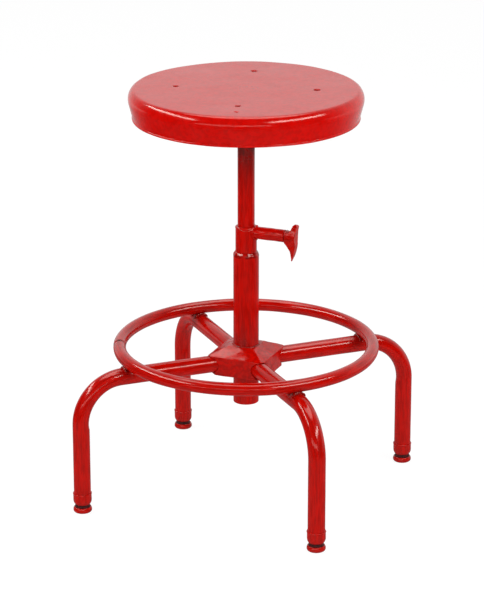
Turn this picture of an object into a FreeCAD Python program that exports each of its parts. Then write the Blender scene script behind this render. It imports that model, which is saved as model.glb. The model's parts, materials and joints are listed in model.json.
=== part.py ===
import FreeCAD, Part
import math
import os
from FreeCAD import Vector

# Machinist stool: round pressed steel seat on a clamped post, in a welded four-legged tube base.
# Millimetres. The origin is on the floor under the post, +Z is up and +X is the way the clamp
# screw points. The legs stand half way between the axes.

# Seat pan, one disc of sheet steel pressed into a lid
seat_height = 622.5
pan_radius = 172.0
pan_sheet = 1.6
pan_depth = 44.5
pan_edge_radius = 7.0
pan_edge_turn = 50.0
pan_side_radius = 19.0
skirt_lean = 15.0
hem_proud = 1.1
hem_height = 3.4
pad_hole_count = 4
pad_hole_diameter = 8.0
pad_hole_circle = 206.0
pad_hole_turn = 15.9
drain_hole_diameter = 3.8
drain_hole_distance = 139.0
drain_hole_turn = -73.2

# Spreader, the hat-shaped pressing under the pan that carries the swivel socket
spreader_sheet = 2.5
spreader_diameter = 150.0
spreader_rim = 15.0
spreader_depth = 22.0
spreader_wall_run = 18.0

# Swivel socket and its screw
socket_diameter = 38.1
socket_length = 62.0
socket_roof = 5.0
bush_diameter = 22.0
bush_length = 12.0
bush_gap_above = 2.0
retainer_diameter = 6.0
retainer_square = 8.0
retainer_head = 5.0
retainer_standout = 1.5
retainer_above_bush = 5.0
retainer_chamfer = 0.6

# Ball thrust bearing and the spindle it turns on
journal_diameter = 17.0
bearing_diameter = 30.0
bearing_height = 9.0
race_thickness = 2.75
ball_diameter = 4.7
ball_count = 12
cage_thickness = 1.6
flange_thickness = 6.0
flange_overlap = 3.0
spigot_length = 25.0
turning_gap = 0.05
shroud_gap = 0.3
screw_side_gap = 0.3
groove_depth = 2.0
journal_chamfer = 1.0
journal_top_gap = 2.0

# Seat post, its stop collar and the guide sleeve
post_diameter = 25.4
post_wall = 3.05
sliding_gap = 0.1
sleeve_diameter = 31.75
sleeve_length = 104.0
sleeve_lip = 0.7
sleeve_lip_height = 4.0
collar_gap = 0.3
collar_height = 10.0
collar_pin_diameter = 4.0
seat_rise = 37.5

# Column, the outer tube of the base
column_diameter = 38.1
sleeve_fit = 0.12
column_foot = 138.0
column_length = 230.0
neck_length = 45.8
shoulder_weld_height = 7.5
shoulder_weld_draw = 0.6
shoulder_weld_fullness = 0.55

# Hub, a pressed box that ties the four legs to the column
hub_side = 90.0
hub_sheet = 2.0
hub_over_legs = 0.9
hub_crown = 11.5
hub_top_side = 42.0
hub_corner_radius = 7.0
hub_corner_trim = 13.0
hub_weld = 4.0
hub_weld_fullness = 0.4
hub_weld_crown = 0.2
tube_seam = 0.3

# Legs
leg_count = 4
leg_names = ("right", "back", "left", "front")
leg_first_angle = 45.0
leg_diameter = 25.4
leg_wall = 2.1
leg_axis_height = 204.3
leg_circle_radius = 263.0
leg_bend_radius = 67.0

# Foot ring, one tube bent round and butted at a seam
ring_radius = 189.0
ring_diameter = 19.05
ring_wall = 2.0
ring_seam_angle = -156.0
ring_seam_gap = 0.9
ring_spigot_length = 60.0
ring_weld_length = 11.0
ring_weld_height = 4.5

# Feet: ferrule pressed on the tube, rubber cushion and steel glide
ferrule_wall = 0.95
ferrule_height = 17.3
ferrule_floor = 1.5
ferrule_foot_radius = 11.9
ferrule_round = 5.5
round_spread = 0.7
round_rise = 0.38
tube_end_seat = 4.5
tube_end_ledge = 1.6
ferrule_lip = 0.7
ferrule_lip_height = 1.2
cushion_neck_radius = 11.3
cushion_neck_height = 4.7
glide_radius = 13.85
glide_sheet = 1.5
glide_height = 8.5
glide_wide_height = 3.8
glide_top_radius = 12.9
glide_fullness = 0.8
rivet_diameter = 6.0
rivet_head_diameter = 11.0
rivet_head_height = 2.0
rivet_crown_radius = 1.5
rivet_spread = 0.8
rivet_rise = 0.7

# Clamp: boss on the neck, swivel pad and wing screw
boss_diameter = 18.6
boss_reach = 62.0
boss_below_neck_top = 9.0
boss_weld = 3.0
boss_weld_run = 6.0
boss_weld_toe = 0.2
boss_chamfer = 0.6
screw_diameter = 9.525
screw_gap = 0.1
pad_diameter = 9.3
pad_length = 8.0
pad_clear_of_post = 0.3
pad_chamfer = 0.8
screw_tip_diameter = 5.0
screw_tip_length = 4.0
wing_hub_gap = 0.4
wing_hub_diameter = 16.4
wing_hub_length = 9.0
wing_depth = 18.0
wing_rise = 19.4
wing_drop = 37.8
wing_width = 12.6
wing_top_room = 0.1
wing_end_reach = 1.4

# Outline of the wing screw's head from the side, up over the short wing and down the long one.
# Each point is (out from the hub's face as a share of the depth, height as a share of the rise or,
# below the screw's axis, of the drop). Curves run through every second point.
wing_side_points = (
    (0.256, 0.325),
    (0.489, 0.505),
    (0.667, 0.835),
    (0.878, 1.0),
    (1.089, 0.845),
    (0.95, 0.103),
    (0.967, -0.317),
    (0.8, -0.714),
    (0.589, -1.0),
    (0.511, -0.984),
    (0.556, -0.788),
    (0.478, -0.545),
    (0.272, -0.402),
    (0.056, -0.27),
)

# One half of the same head seen from its end: (across as a share of half the width, height as above)
wing_end_points = (
    (1.0, 0.567),
    (1.302, 0.155),
    (1.302, -0.079),
    (1.0, -0.344),
    (0.86, -0.688),
    (0.159, -1.0),
)

# How far a cutting shape runs past what it cuts, and how close two lengths count as equal
cut_margin = 1.0
match = 0.01

# Sizes that follow from the ones above
post_radius = post_diameter / 2
post_bore_radius = post_radius - post_wall
column_radius = column_diameter / 2
column_top = column_foot + column_length
sleeve_radius = sleeve_diameter / 2
sleeve_bore_radius = post_radius + sliding_gap
sleeve_top = column_top + neck_length
sleeve_foot = sleeve_top - sleeve_length
column_bore_radius = sleeve_radius + sleeve_fit
collar_radius = column_bore_radius - collar_gap
collar_top = sleeve_foot - seat_rise - collar_gap
post_foot = collar_top - collar_height
pan_underside = seat_height - pan_sheet
pan_foot = seat_height - pan_depth
socket_foot = pan_underside - socket_length
flange_top = socket_foot + flange_overlap
post_top = flange_top - flange_thickness
bearing_radius = bearing_diameter / 2
bearing_seat = flange_top + bearing_height
bore_top = pan_underside - socket_roof
leg_radius = leg_diameter / 2
leg_top = leg_axis_height + leg_radius
hub_wall_top = leg_top + hub_over_legs
hub_wall_foot = leg_axis_height - leg_radius - tube_seam - hub_sheet
ring_tube_radius = ring_diameter / 2
ring_height = leg_top + ring_tube_radius
ferrule_foot = glide_height + cushion_neck_height
leg_foot = ferrule_foot + tube_end_seat
glide_flat_radius = glide_radius - glide_wide_height
boss_radius = boss_diameter / 2
boss_height = sleeve_top - boss_below_neck_top
screw_bore_radius = screw_diameter / 2 + screw_gap
pad_start = post_radius + pad_clear_of_post
pad_end = pad_start + pad_length
wing_start = boss_reach + wing_hub_gap
balls_height = flange_top + bearing_height / 2
retainer_height = bearing_seat + bush_length + retainer_above_bush
up = Vector(0, 0, 1)


def rod(radius, foot, top):
    return Part.makeCylinder(radius, top - foot, Vector(0, 0, foot), up)


def tube(outer_radius, bore_radius, foot, top):
    return rod(outer_radius, foot, top).cut(rod(bore_radius, foot - cut_margin, top + cut_margin))


def rod_along_x(radius, start, end, height):
    return Part.makeCylinder(radius, end - start, Vector(start, 0, height), Vector(1, 0, 0))


def line(start, end):
    return Part.LineSegment(start, end).toShape()


def arc(start, middle, end):
    return Part.Arc(start, middle, end).toShape()


def spun(points, rounded=()):
    """A solid turned about Z. A point is (radius, height). A span whose index is in rounded
    bends through the next point, which lies on the arc."""
    corners = [Vector(radius, 0, height) for radius, height in points]
    corners.append(corners[0])
    edges = []
    index = 0
    while index < len(corners) - 1:
        if index in rounded:
            edges.append(arc(corners[index], corners[index + 1], corners[index + 2]))
            index += 2
        else:
            edges.append(line(corners[index], corners[index + 1]))
            index += 1
    face = Part.Face(Part.Wire(edges))
    return face.revolve(Vector(0, 0, 0), up, 360)


def turned(shape, angle):
    copy = shape.copy()
    copy.rotate(Vector(0, 0, 0), up, angle)
    return copy


def polar(radius, angle, height=0.0):
    turn = math.radians(angle)
    return Vector(radius * math.cos(turn), radius * math.sin(turn), height)


def leg_angle(number):
    return leg_first_angle + number * 360.0 / leg_count


def export(shape, name):
    shape.exportStep(os.path.join("parts", name + ".step"))
    solids = len(shape.Solids)
    print(name, "solids", solids, "valid", shape.isValid(), "volume", round(shape.Volume))


# Seat pan: a flat top, a tight roll that eases into the side, and a skirt that draws in to a
# beaded hem. The outline is inset to give the inner face.
def pan_outline(inset):
    lean = math.radians(skirt_lean)
    edge_turn = math.radians(pan_edge_turn)
    ease = pan_side_radius - pan_edge_radius
    side_centre = Vector(pan_radius - pan_side_radius, 0, 0)
    edge_centre = side_centre + Vector(math.sin(edge_turn), 0, math.cos(edge_turn)) * ease
    lift = up * (seat_height - pan_edge_radius - edge_centre.z)
    side_centre = side_centre + lift
    edge_centre = edge_centre + lift
    turns = (0.0, edge_turn / 2, edge_turn, (edge_turn + math.pi / 2 + lean) / 2, math.pi / 2 + lean)
    points = []
    for index, turn in enumerate(turns):
        centre = edge_centre if index < 2 else side_centre
        bend = (pan_edge_radius if index < 2 else pan_side_radius) - inset
        points.append(centre + Vector(math.sin(turn), 0, math.cos(turn)) * bend)
    fall = points[-1].z - pan_foot
    points.append(Vector(points[-1].x - fall * math.tan(lean), 0, pan_foot))
    return points


def pan_drill(diameter):
    return rod(diameter / 2, pan_underside - cut_margin, seat_height + cut_margin)


def seat_pan():
    outer = pan_outline(0.0)
    inner = pan_outline(pan_sheet)
    lean = math.tan(math.radians(skirt_lean))
    hem_top = Vector(outer[5].x + hem_height * lean, 0, pan_foot + hem_height)
    hem_middle = Vector(outer[5].x + hem_height * lean / 2 + hem_proud, 0, pan_foot + hem_height / 2)
    axis_top = Vector(0, 0, seat_height)
    axis_under = Vector(0, 0, pan_underside)
    edges = [line(axis_top, outer[0])]
    edges.append(arc(outer[0], outer[1], outer[2]))
    edges.append(arc(outer[2], outer[3], outer[4]))
    edges.append(line(outer[4], hem_top))
    edges.append(arc(hem_top, hem_middle, outer[5]))
    edges.append(line(outer[5], inner[5]))
    edges.append(line(inner[5], inner[4]))
    edges.append(arc(inner[4], inner[3], inner[2]))
    edges.append(arc(inner[2], inner[1], inner[0]))
    edges.append(line(inner[0], axis_under))
    edges.append(line(axis_under, axis_top))
    pan = Part.Face(Part.Wire(edges)).revolve(Vector(0, 0, 0), up, 360)
    hole = pan_drill(pad_hole_diameter)
    for number in range(pad_hole_count):
        angle = pad_hole_turn + number * 360.0 / pad_hole_count
        pan = pan.cut(hole.translated(polar(pad_hole_circle / 2, angle)))
    drain = pan_drill(drain_hole_diameter)
    return pan.cut(drain.translated(polar(drain_hole_distance, drain_hole_turn)))


# Spreader: rim welded under the pan, coned wall, and a floor welded round the socket
def seat_spreader():
    rim_outer = spreader_diameter / 2
    rim_inner = rim_outer - spreader_rim
    floor_outer = rim_inner - spreader_wall_run
    hole = socket_diameter / 2
    top = pan_underside
    floor_top = top - spreader_depth
    return spun([
        (rim_outer, top),
        (rim_outer, top - spreader_sheet),
        (rim_inner, top - spreader_sheet),
        (floor_outer, floor_top - spreader_sheet),
        (hole, floor_top - spreader_sheet),
        (hole, floor_top),
        (floor_outer - spreader_sheet / 2, floor_top),
        (rim_inner - spreader_sheet / 2, top),
    ])


# Socket: a turned cup with a counterbore that shrouds the thrust bearing
def swivel_socket():
    body = rod(socket_diameter / 2, socket_foot, pan_underside)
    body = body.cut(rod(bush_diameter / 2, socket_foot - cut_margin, bore_top))
    body = body.cut(rod(bearing_radius + shroud_gap, socket_foot - cut_margin, bearing_seat))
    hole = rod_along_x(retainer_diameter / 2, 0, socket_diameter, retainer_height)
    return body.cut(hole)


def swivel_bush(foot):
    bore = journal_diameter / 2 + turning_gap
    return tube(bush_diameter / 2, bore, foot, foot + bush_length)


def race(foot):
    ring = tube(bearing_radius, journal_diameter / 2 + turning_gap, foot, foot + race_thickness)
    centre = Vector(0, 0, balls_height)
    groove = Part.makeTorus(ball_track_radius(), ball_diameter / 2 + turning_gap, centre, up)
    return ring.cut(groove)


def ball_track_radius():
    return (bearing_radius + journal_diameter / 2) / 2


def ball_place(number):
    return polar(ball_track_radius(), number * 360.0 / ball_count, balls_height)


def thrust_balls():
    balls = [Part.makeSphere(ball_diameter / 2, ball_place(n)) for n in range(ball_count)]
    return Part.Compound(balls)


def ball_cage():
    bore = journal_diameter / 2 + shroud_gap
    foot = balls_height - cage_thickness / 2
    cage = tube(bearing_radius - shroud_gap, bore, foot, foot + cage_thickness)
    for number in range(ball_count):
        pocket = Part.makeSphere(ball_diameter / 2 + turning_gap, ball_place(number))
        cage = cage.cut(pocket)
    return cage


# Spindle: spigot in the post, flange under the bearing and a journal with a retaining groove
def post_spindle():
    journal_top = bore_top - journal_top_gap
    body = rod(post_bore_radius, post_top - spigot_length, post_top)
    body = body.fuse(rod(bearing_radius, post_top, flange_top))
    body = body.fuse(rod(journal_diameter / 2, flange_top, journal_top))
    half = retainer_diameter / 2 + screw_side_gap
    groove = tube(journal_diameter, groove_radius(), retainer_height - half, retainer_height + half)
    body = body.cut(groove).removeSplitter()
    rims = [edge for edge in body.Edges if abs(edge.BoundBox.ZMin - journal_top) < match]
    return body.makeChamfer(journal_chamfer, rims)


def groove_radius():
    return journal_diameter / 2 - groove_depth


def swivel_retaining_screw():
    tip = groove_radius() + shroud_gap
    face = socket_diameter / 2 + retainer_standout
    shank = rod_along_x(retainer_diameter / 2, tip, face, retainer_height)
    half = retainer_square / 2
    corner = Vector(face, -half, retainer_height - half)
    head = Part.makeBox(retainer_head, retainer_square, retainer_square, corner)
    return shank.fuse(head.makeChamfer(retainer_chamfer, head.Faces[1].Edges)).removeSplitter()


# Post and the collar that stops it at the foot of the sleeve
def collar_pin_hole():
    height = post_foot + collar_height / 2
    return rod_along_x(collar_pin_diameter / 2, -column_radius, column_radius, height)


def seat_post():
    return tube(post_radius, post_bore_radius, post_foot, post_top).cut(collar_pin_hole())


def post_stop_collar():
    ring = tube(collar_radius, post_radius, post_foot, collar_top)
    return ring.cut(collar_pin_hole())


def collar_pin():
    height = post_foot + collar_height / 2
    end = collar_radius - collar_gap
    return rod_along_x(collar_pin_diameter / 2, -end, end, height)


# Sleeve: guides the post, and its top end is dressed to a small round lip
def sleeve_form(bore_radius):
    outer = sleeve_radius + sleeve_lip
    lip_foot = sleeve_top - sleeve_lip_height
    return spun([
        (bore_radius, sleeve_foot),
        (sleeve_radius, sleeve_foot),
        (sleeve_radius, lip_foot),
        (outer, lip_foot + sleeve_lip_height / 2),
        (sleeve_radius - sleeve_lip, sleeve_top),
        (bore_radius, sleeve_top),
    ], rounded=(2,))


def guide_sleeve():
    hole = rod_along_x(screw_bore_radius, 0, column_radius, boss_height)
    return sleeve_form(sleeve_bore_radius).cut(hole)


def column_tube():
    return tube(column_radius, column_bore_radius, column_foot, column_top)


# Weld bead between the end of the column and the sleeve
def shoulder_weld():
    side = column_radius
    return spun([
        (sleeve_radius, column_top),
        (side, column_top),
        (side - shoulder_weld_draw, column_top + shoulder_weld_height * shoulder_weld_fullness),
        (sleeve_radius, column_top + shoulder_weld_height),
    ], rounded=(1,))


# Hub: walls as tall as the legs, a crowned top, and a flat floor plate let in below
def square(side, height):
    half = side / 2
    ends = [(-half, -half), (half, -half), (half, half), (-half, half), (-half, -half)]
    return Part.makePolygon([Vector(x, y, height) for x, y in ends])


def hub_block(inset, foot):
    side = hub_side - 2 * inset
    low = hub_wall_top - inset
    box = Part.Face(square(side, foot)).extrude(Vector(0, 0, low - foot))
    crown = Part.makeLoft([square(side, low), square(hub_top_side, low + hub_crown)], True, True)
    block = box.fuse(crown).removeSplitter()
    upright = []
    for edge in block.Edges:
        if edge.BoundBox.XLength + edge.BoundBox.YLength < match:
            upright.append(edge)
    return block.makeFillet(hub_corner_radius - inset, upright)


def leg_rods(radius):
    reach = hub_side
    rods = []
    for number in range(leg_count):
        direction = polar(1, leg_angle(number))
        rods.append(Part.makeCylinder(radius, reach, Vector(0, 0, leg_axis_height), direction))
    return rods


def hub_shell():
    shell = hub_block(0.0, hub_wall_foot).cut(hub_block(hub_sheet, hub_wall_foot - cut_margin))
    shell = shell.cut(rod(column_radius, 0, sleeve_top))
    for leg in leg_rods(leg_radius + tube_seam):
        shell = shell.cut(leg)
    return shell.cut(corner_room())


def corner_room():
    """The room under the legs, where the corners of the pressing and of the floor are cut off."""
    start = Vector((hub_side - hub_corner_trim) / math.sqrt(2), -hub_side / 2, 0)
    blocks = []
    for number in range(leg_count):
        block = Part.makeBox(hub_side, hub_side, leg_axis_height, start)
        blocks.append(turned(block, leg_angle(number)))
    return blocks[0].fuse(blocks[1:])


def hub_floor():
    side = hub_side - 2 * hub_sheet
    face = Part.Face(square(side, hub_wall_foot))
    plate = face.extrude(Vector(0, 0, hub_sheet))
    upright = [edge for edge in plate.Edges if edge.BoundBox.ZLength > hub_sheet / 2]
    plate = plate.makeFillet(hub_corner_radius - hub_sheet, upright)
    return plate.cut(rod(column_radius, 0, sleeve_top)).cut(corner_room())


def hub_weld_bead():
    top = hub_wall_top + hub_crown
    bead = spun([
        (column_radius, top - hub_sheet),
        (column_radius + hub_weld, top - hub_sheet),
        (column_radius + hub_weld * hub_weld_fullness, top + hub_weld * hub_weld_crown),
        (column_radius, top + hub_weld),
    ], rounded=(1,))
    return bead.cut(hub_block(0.0, hub_wall_foot))


# Leg: one tube, level out of the hub, bent down through a quarter turn to the floor
def leg_outline(radius, angle):
    outward = polar(1, angle)
    side = polar(1, angle + 90)
    start = polar(column_radius / 2, angle, leg_axis_height)
    bend_start = polar(leg_circle_radius - leg_bend_radius, angle, leg_axis_height)
    bend_centre = bend_start - up * leg_bend_radius
    foot = polar(leg_circle_radius, angle, leg_foot)
    level = Part.makeCylinder(radius, (bend_start - start).Length, start, outward)
    disc = Part.Face(Part.Wire(Part.makeCircle(radius, bend_start, outward)))
    bend = disc.revolve(bend_centre, side, 90)
    drop = Part.makeCylinder(radius, bend_centre.z - leg_foot, foot, up)
    return level, bend, drop


def leg(number):
    angle = leg_angle(number)
    outer = leg_outline(leg_radius, angle)
    bore = leg_outline(leg_radius - leg_wall, angle)
    pieces = [solid.cut(hole) for solid, hole in zip(outer, bore)]
    body = pieces[0].fuse(pieces[1:]).removeSplitter()
    return body.cut(rod(column_radius, 0, sleeve_top))


# Foot ring: a bent tube with a spigot inside its butted seam, welded down on each leg
def ring_arc(radius, bore, from_angle, sweep):
    place = Vector(ring_radius, 0, ring_height)
    disc = Part.Face(Part.Wire(Part.makeCircle(radius, place, Vector(0, 1, 0))))
    if bore > 0:
        disc = disc.cut(Part.Face(Part.Wire(Part.makeCircle(bore, place, Vector(0, 1, 0)))))
    return turned(disc.revolve(Vector(0, 0, 0), up, sweep), from_angle)


def foot_ring():
    gap = math.degrees(ring_seam_gap / ring_radius)
    bore = ring_tube_radius - ring_wall
    return ring_arc(ring_tube_radius, bore, ring_seam_angle + gap / 2, 360 - gap)


def ring_seam_spigot():
    sweep = math.degrees(ring_spigot_length / ring_radius)
    bore = ring_tube_radius - 2 * ring_wall
    return ring_arc(ring_tube_radius - ring_wall, bore, ring_seam_angle - sweep / 2, sweep)


def ring_welds():
    ring = ring_arc(ring_tube_radius, 0, ring_seam_angle, 360 - match)
    beads = []
    for number in range(leg_count):
        place = polar(ring_radius, leg_angle(number), leg_top)
        ball = Part.makeSphere(ring_weld_length)
        squash = FreeCAD.Matrix()
        squash.scale(1.0, 1.0, ring_weld_height / ring_weld_length)
        bead = ball.transformGeometry(squash).translated(place)
        bead = bead.cut(ring)
        direction = polar(1, leg_angle(number))
        centre = Vector(0, 0, leg_axis_height)
        beads.append(bead.cut(Part.makeCylinder(leg_radius, leg_circle_radius, centre, direction)))
    return Part.Compound([solid for bead in beads for solid in bead.Solids])


# Foot: everything is turned about the upright tube, then set at its leg
def ferrule():
    inner = leg_radius
    outer = leg_radius + ferrule_wall
    top = ferrule_foot + ferrule_height
    lip = top - ferrule_lip_height
    hole = rivet_diameter / 2
    floor = ferrule_foot + ferrule_floor
    turn_radius = ferrule_foot_radius + (outer - ferrule_foot_radius) * round_spread
    return spun([
        (hole, ferrule_foot),
        (ferrule_foot_radius, ferrule_foot),
        (turn_radius, ferrule_foot + ferrule_round * round_rise),
        (outer, ferrule_foot + ferrule_round),
        (outer, lip - ferrule_lip),
        (outer + ferrule_lip, lip),
        (outer + ferrule_lip, top - ferrule_lip / 2),
        (outer + ferrule_lip / 2, top),
        (inner, top),
        (inner, leg_foot),
        (inner - tube_end_ledge, leg_foot),
        (ferrule_foot_radius - ferrule_floor, floor),
        (hole, floor),
    ], rounded=(1,))


def glide_cushion():
    inside = glide_radius - glide_sheet
    hole = rivet_diameter / 2
    return spun([
        (hole, glide_sheet),
        (glide_flat_radius, glide_sheet),
        (inside, glide_wide_height),
        (glide_top_radius - glide_sheet, glide_height),
        (cushion_neck_radius, glide_height),
        (cushion_neck_radius, ferrule_foot),
        (hole, ferrule_foot),
    ])


def glide_cup():
    inside = glide_radius - glide_sheet
    half_way = glide_wide_height * math.sqrt(0.5)
    draw = glide_radius - glide_top_radius
    return spun([
        (0, 0),
        (glide_flat_radius, 0),
        (glide_flat_radius + half_way, glide_wide_height - half_way),
        (glide_radius, glide_wide_height),
        (glide_top_radius + draw * glide_fullness, (glide_wide_height + glide_height) / 2),
        (glide_top_radius, glide_height),
        (glide_top_radius - glide_sheet, glide_height),
        (inside, glide_wide_height),
        (glide_flat_radius, glide_sheet),
        (0, glide_sheet),
    ], rounded=(1, 3))


def glide_rivet():
    floor = ferrule_foot + ferrule_floor
    rim = rivet_head_diameter / 2
    return spun([
        (0, glide_sheet),
        (rivet_diameter / 2, glide_sheet),
        (rivet_diameter / 2, floor),
        (rim, floor),
        (rim * rivet_spread, floor + rivet_head_height * rivet_rise),
        (rivet_crown_radius, floor + rivet_head_height),
        (0, floor + rivet_head_height),
    ], rounded=(3,))


def at_leg(shape, number):
    return shape.translated(polar(leg_circle_radius, leg_angle(number)))


# Clamp boss: a bored and threaded bar, coped to the neck and welded round
def clamp_boss():
    boss = rod_along_x(boss_radius, 0, boss_reach, boss_height)
    rims = [edge for edge in boss.Edges if abs(edge.BoundBox.XMin - boss_reach) < match]
    boss = boss.makeChamfer(boss_chamfer, rims).cut(neck_form())
    return boss.cut(rod_along_x(screw_bore_radius, 0, boss_reach + cut_margin, boss_height))


def neck_form():
    """The room that the neck and the post above it take up."""
    return sleeve_form(0).fuse(rod(sleeve_bore_radius, sleeve_top - cut_margin, post_top))


def boss_weld_bead():
    start = sleeve_radius - boss_weld
    run = boss_weld + boss_weld_run
    place = Vector(start, 0, boss_height)
    toe = boss_radius + boss_weld_toe
    collar = Part.makeCone(boss_radius + boss_weld, toe, run, place, Vector(1, 0, 0))
    return collar.cut(neck_form()).cut(rod_along_x(boss_radius, 0, boss_reach, boss_height))


def clamp_pad():
    pad = rod_along_x(pad_diameter / 2, pad_start, pad_end, boss_height)
    rims = [edge for edge in pad.Edges if edge.BoundBox.XLength < match]
    pad = pad.makeChamfer(pad_chamfer, rims)
    socket_radius = screw_tip_diameter / 2 + screw_gap
    socket_end = pad_end - screw_tip_length - screw_gap
    return pad.cut(rod_along_x(socket_radius, socket_end, pad_end + cut_margin, boss_height))


# Wing screw: the head is the shape common to its side view and its end view
def wing_height(share):
    reach = wing_rise if share > 0 else wing_drop
    return boss_height + share * reach


def wing_side_view():
    points = []
    for out, height in wing_side_points:
        points.append(Vector(wing_start + out * wing_depth, 0, wing_height(height)))
    hub_low = Vector(wing_start, 0, boss_height - wing_hub_diameter / 2)
    hub_high = Vector(wing_start, 0, boss_height + wing_hub_diameter / 2)
    edges = [line(hub_low, hub_high), line(hub_high, points[0])]
    for first in (0, 2, 4, 6):
        edges.append(arc(points[first], points[first + 1], points[first + 2]))
    edges.append(line(points[8], points[9]))
    for first in (9, 11):
        edges.append(arc(points[first], points[first + 1], points[first + 2]))
    edges.append(line(points[13], hub_low))
    face = Part.Face(Part.Wire(edges))
    return face.translated(Vector(0, -wing_width, 0)).extrude(Vector(0, 2 * wing_width, 0))


def wing_end_view():
    start = wing_start - cut_margin
    half = wing_width / 2
    right = []
    for across, height in wing_end_points:
        right.append(Vector(start, across * half, wing_height(height)))
    left = [Vector(point.x, -point.y, point.z) for point in right]
    top = Vector(start, 0, boss_height + wing_rise + wing_top_room)
    edges = [arc(left[0], top, right[0])]
    for side in (right, left):
        edges.append(line(side[0], side[1]))
        edges.append(line(side[1], side[2]))
        edges.append(line(side[2], side[3]))
        edges.append(arc(side[3], side[4], side[5]))
    edges.append(line(right[5], left[5]))
    face = Part.Face(Part.Wire(Part.__sortEdges__(edges)))
    return face.extrude(Vector(wing_depth * wing_end_reach, 0, 0))


def wing_screw():
    head = wing_side_view().common(wing_end_view())
    neck = rod_along_x(wing_hub_diameter / 2, wing_start, wing_start + wing_hub_length, boss_height)
    shank = rod_along_x(screw_diameter / 2, pad_end, wing_start + wing_hub_length, boss_height)
    tip = rod_along_x(screw_tip_diameter / 2, pad_end - screw_tip_length, pad_end, boss_height)
    return head.fuse([neck, shank, tip]).removeSplitter()


def build():
    os.makedirs("parts", exist_ok=True)
    export(seat_pan(), "seat_pan")
    export(seat_spreader(), "seat_spreader")
    export(swivel_socket(), "swivel_socket")
    export(swivel_bush(bearing_seat), "swivel_bush_lower")
    export(swivel_bush(bore_top - bush_gap_above - bush_length), "swivel_bush_upper")
    export(race(bearing_seat - race_thickness), "thrust_race_upper")
    export(race(flange_top), "thrust_race_lower")
    export(thrust_balls(), "thrust_balls")
    export(ball_cage(), "ball_cage")
    export(post_spindle(), "post_spindle")
    export(swivel_retaining_screw(), "swivel_retaining_screw")
    export(seat_post(), "seat_post")
    export(post_stop_collar(), "post_stop_collar")
    export(collar_pin(), "collar_pin")
    export(guide_sleeve(), "guide_sleeve")
    export(column_tube(), "column_tube")
    export(shoulder_weld(), "shoulder_weld")
    export(hub_shell(), "hub_shell")
    export(hub_floor(), "hub_floor")
    export(hub_weld_bead(), "hub_weld_bead")
    export(foot_ring(), "foot_ring")
    export(ring_seam_spigot(), "ring_seam_spigot")
    export(ring_welds(), "ring_welds")
    export(clamp_boss(), "clamp_boss")
    export(boss_weld_bead(), "boss_weld_bead")
    export(clamp_pad(), "clamp_pad")
    export(wing_screw(), "wing_screw")
    for number, name in enumerate(leg_names):
        export(leg(number), "leg_" + name)
        export(at_leg(ferrule(), number), "ferrule_" + name)
        export(at_leg(glide_cushion(), number), "glide_cushion_" + name)
        export(at_leg(glide_cup(), number), "glide_cup_" + name)
    export(Part.Compound([at_leg(glide_rivet(), n) for n in range(leg_count)]), "glide_rivets")


build()
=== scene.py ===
# %% [markdown]
# A machinist stool in thick red enamel
#
# The stool is old shop furniture: a pressed steel seat on a sliding post, clamped by a wing screw in a
# welded base of bent tube. Somebody has brushed gloss red over everything, and the paint is what the
# eye reads: brush strokes, sags, dirt caught at the welds and broken highlights.
#
# The construction comes in as fixed CAD nodes. This file never moves them. It lays finer skins over
# the ones that show, and gives every other node a proper finish.

# %% Load the frame
import json
import math

import bmesh
import bpy
from mathutils import Matrix, Vector, noise


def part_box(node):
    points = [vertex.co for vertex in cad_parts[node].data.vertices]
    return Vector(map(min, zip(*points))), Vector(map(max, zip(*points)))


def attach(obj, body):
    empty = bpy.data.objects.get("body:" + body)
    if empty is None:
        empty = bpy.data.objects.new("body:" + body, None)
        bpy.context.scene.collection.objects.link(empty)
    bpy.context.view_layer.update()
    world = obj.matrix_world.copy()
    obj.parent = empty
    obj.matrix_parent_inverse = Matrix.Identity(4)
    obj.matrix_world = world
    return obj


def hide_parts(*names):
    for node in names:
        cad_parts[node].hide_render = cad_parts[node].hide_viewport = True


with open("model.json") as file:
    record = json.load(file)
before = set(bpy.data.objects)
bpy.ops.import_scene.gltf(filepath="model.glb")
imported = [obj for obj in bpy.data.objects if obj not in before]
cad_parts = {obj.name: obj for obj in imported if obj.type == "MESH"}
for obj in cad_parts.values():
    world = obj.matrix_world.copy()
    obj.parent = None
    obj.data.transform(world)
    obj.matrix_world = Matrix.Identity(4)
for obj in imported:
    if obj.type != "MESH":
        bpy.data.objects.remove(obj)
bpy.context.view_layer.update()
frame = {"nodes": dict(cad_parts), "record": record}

mm = 0.001

# %% [markdown]
# Measures
#
# Whatever can be read from the frame is read, so that the skins follow the construction. The few
# numbers that a box can't give, such as a bend radius, are named here once, in millimetres.

# %% Read the sizes from the frame
def top_of(node):
    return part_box(node)[1].z / mm


def foot_of(node):
    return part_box(node)[0].z / mm


def reach_of(node):
    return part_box(node)[1].y / mm


seat_height = top_of("seat_pan")
pan_foot = foot_of("seat_pan")
pan_sheet = seat_height - top_of("seat_spreader")
post_radius = reach_of("seat_post")
sleeve_top = top_of("guide_sleeve")
sleeve_foot = foot_of("guide_sleeve")
column_radius = reach_of("column_tube")
column_top = top_of("column_tube")
column_foot = foot_of("column_tube")
leg_top = top_of("leg_right")
leg_foot = foot_of("leg_right")
ring_height = (top_of("foot_ring") + foot_of("foot_ring")) / 2
ring_tube_radius = (top_of("foot_ring") - foot_of("foot_ring")) / 2
ring_radius = reach_of("foot_ring") - ring_tube_radius
glide_radius = (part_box("glide_cup_right")[1].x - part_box("glide_cup_right")[0].x) / 2 / mm
leg_circle_radius = (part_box("glide_cup_right")[1].x / mm - glide_radius) * math.sqrt(2)
boss_height = (top_of("clamp_boss") + foot_of("clamp_boss")) / 2
boss_radius = (top_of("clamp_boss") - foot_of("clamp_boss")) / 2
boss_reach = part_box("clamp_boss")[1].x / mm
print("seat", round(seat_height, 1), "ring", round(ring_radius, 1), "legs on", round(leg_circle_radius, 1))

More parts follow.
